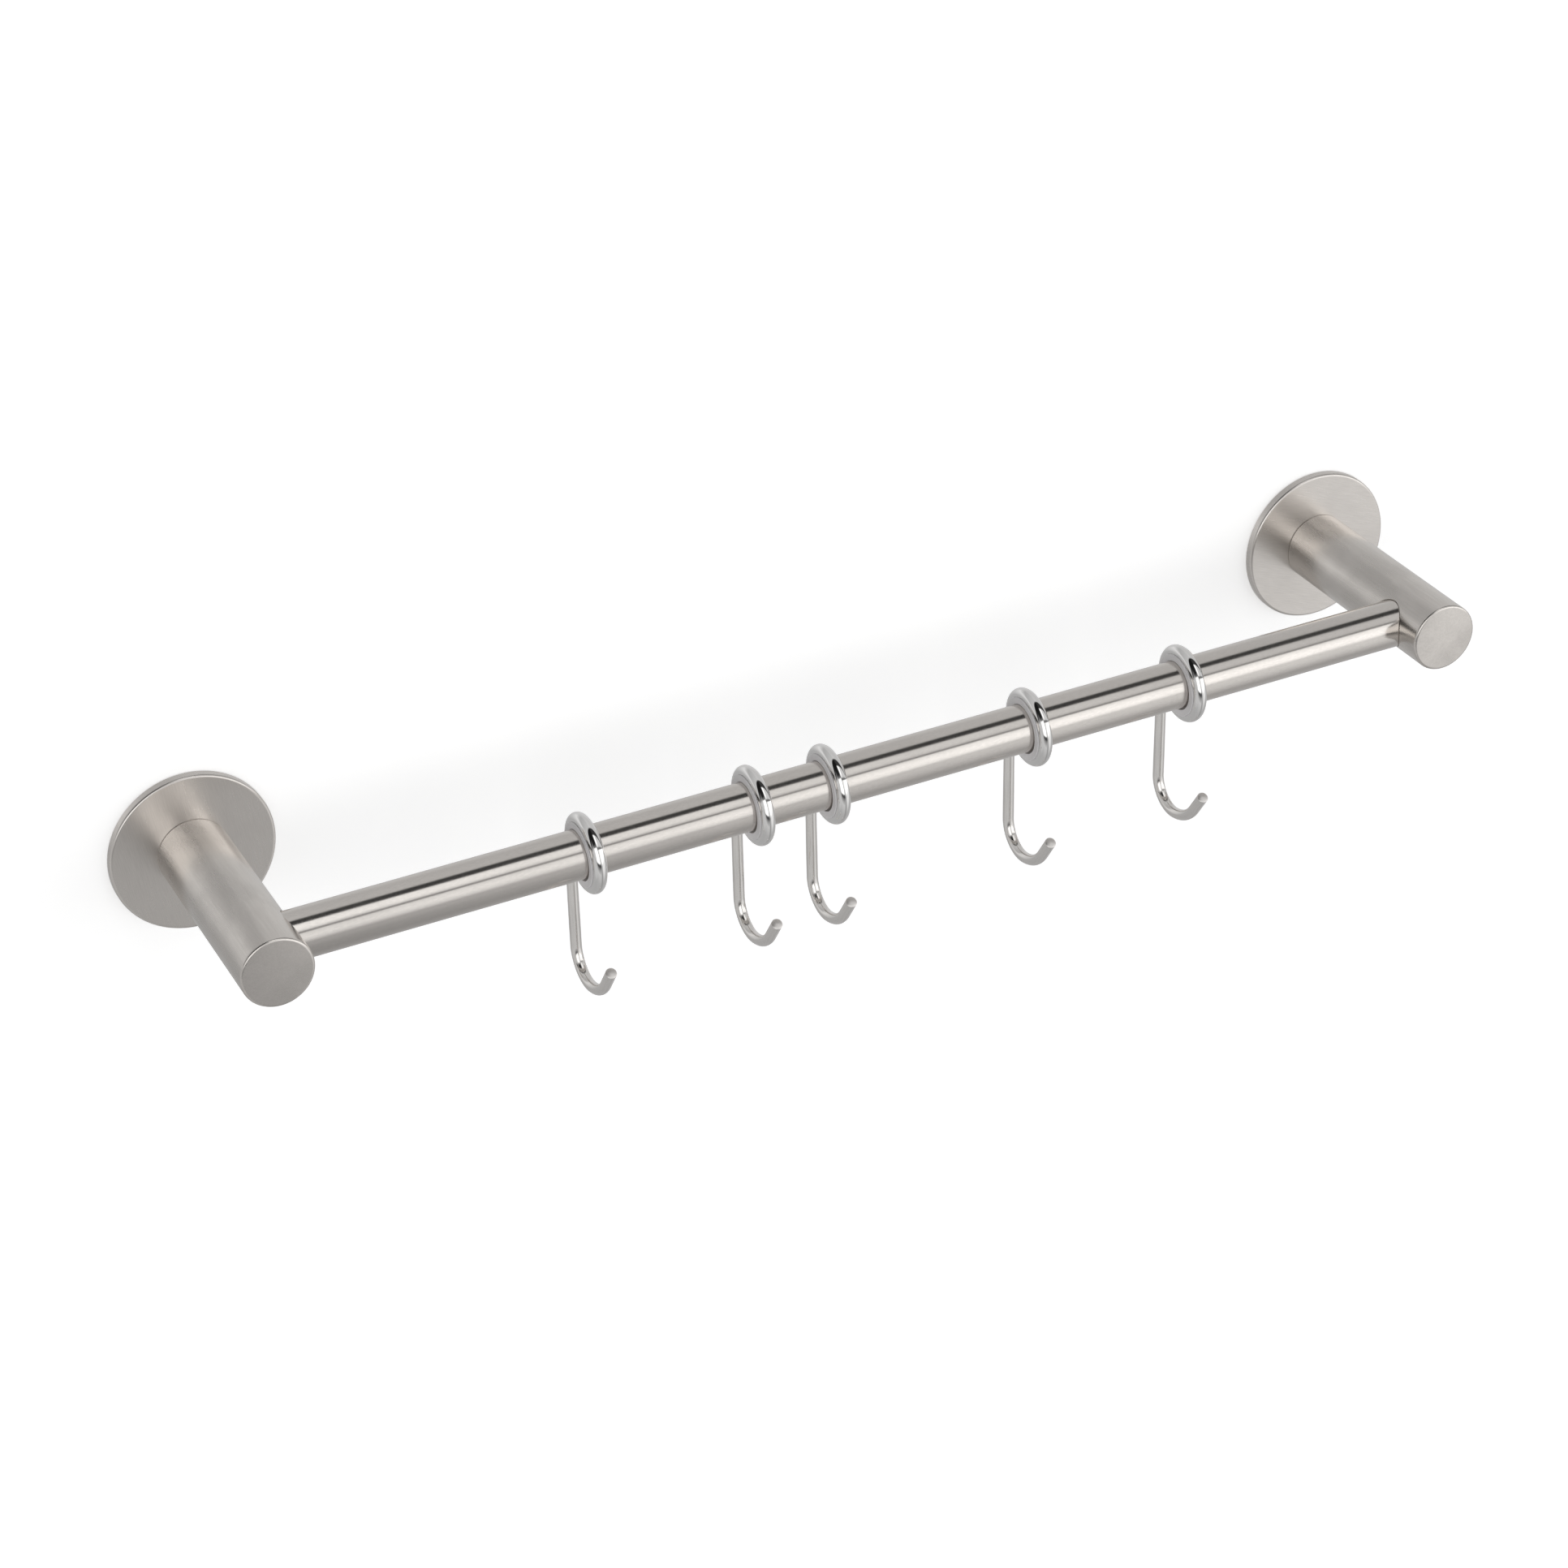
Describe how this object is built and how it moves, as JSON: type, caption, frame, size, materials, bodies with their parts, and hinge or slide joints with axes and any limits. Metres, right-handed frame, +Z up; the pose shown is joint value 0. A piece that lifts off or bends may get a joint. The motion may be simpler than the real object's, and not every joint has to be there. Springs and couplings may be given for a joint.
{
  "type": "wall hook rack",
  "caption": "Round wall rail on two flanged posts, with J-shaped wire hooks on plastic-lined rings that slide along the rail and swing round it.",
  "frame": {"origin": "on the wall plane, midway between the two post axes, at the height of the rail's axis", "axes": "+X along the rail to the right as seen from the room, +Y into the wall, +Z up"},
  "size_m": [0.466, 0.1115, 0.0808],
  "materials": {
    "rail_steel": "brushed lengthwise",
    "post_steel": "satin, finely turned",
    "flange_steel": "straight brushed with a polished edge",
    "ring_chrome": "polished",
    "hook_steel": "polished wire",
    "liner_plastic": "matt pale grey",
    "zinc_plated_steel": "zinc plated",
    "black_steel": "black oxide"
  },
  "bodies": {
    "rack": {"rail": "rail_steel", "left_flange": "flange_steel", "left_post": "post_steel", "left_wall_plate": "zinc_plated_steel", "left_post_grub_screw": "black_steel", "left_rail_grub_screw": "black_steel", "left_upper_wall_screw": "zinc_plated_steel", "left_lower_wall_screw": "zinc_plated_steel", "right_flange": "flange_steel", "right_post": "post_steel", "right_wall_plate": "zinc_plated_steel", "right_post_grub_screw": "black_steel", "right_rail_grub_screw": "black_steel", "right_upper_wall_screw": "zinc_plated_steel", "right_lower_wall_screw": "zinc_plated_steel"},
    "slider_1": {"hook_1_liner": "liner_plastic"},
    "hook_1": {"hook_1_ring": "ring_chrome", "hook_1_wire": "hook_steel"},
    "slider_2": {"hook_2_liner": "liner_plastic"},
    "hook_2": {"hook_2_ring": "ring_chrome", "hook_2_wire": "hook_steel"},
    "slider_3": {"hook_3_liner": "liner_plastic"},
    "hook_3": {"hook_3_ring": "ring_chrome", "hook_3_wire": "hook_steel"},
    "slider_4": {"hook_4_liner": "liner_plastic"},
    "hook_4": {"hook_4_ring": "ring_chrome", "hook_4_wire": "hook_steel"},
    "slider_5": {"hook_5_liner": "liner_plastic"},
    "hook_5": {"hook_5_ring": "ring_chrome", "hook_5_wire": "hook_steel"}
  },
  "joints": [
    {"name": "slide_1", "type": "slide", "parent": "rack", "child": "slider_1", "axis": [1, 0, 0], "range_m": [-0.0915, 0.026]},
    {"name": "swing_1", "type": "hinge", "parent": "slider_1", "child": "hook_1", "pos_m": [-0.0992, -0.0638, -0.0003], "axis": [1, 0, 0], "continuous": true},
    {"name": "slide_2", "type": "slide", "parent": "rack", "child": "slider_2", "axis": [1, 0, 0], "range_m": [-0.026, 0.0103]},
    {"name": "swing_2", "type": "hinge", "parent": "slider_2", "child": "hook_2", "pos_m": [-0.0418, -0.0638, -0.0003], "axis": [1, 0, 0], "continuous": true},
    {"name": "slide_3", "type": "slide", "parent": "rack", "child": "slider_3", "axis": [1, 0, 0], "range_m": [-0.0103, 0.0335]},
    {"name": "swing_3", "type": "hinge", "parent": "slider_3", "child": "hook_3", "pos_m": [-0.0154, -0.0638, -0.0003], "axis": [1, 0, 0], "continuous": true},
    {"name": "slide_4", "type": "slide", "parent": "rack", "child": "slider_4", "axis": [1, 0, 0], "range_m": [-0.0335, 0.026]},
    {"name": "swing_4", "type": "hinge", "parent": "slider_4", "child": "hook_4", "pos_m": [0.0573, -0.0638, -0.0003], "axis": [1, 0, 0], "continuous": true},
    {"name": "slide_5", "type": "slide", "parent": "rack", "child": "slider_5", "axis": [1, 0, 0], "range_m": [-0.026, 0.076]},
    {"name": "swing_5", "type": "hinge", "parent": "slider_5", "child": "hook_5", "pos_m": [0.115, -0.0638, -0.0003], "axis": [1, 0, 0], "continuous": true}
  ]
}
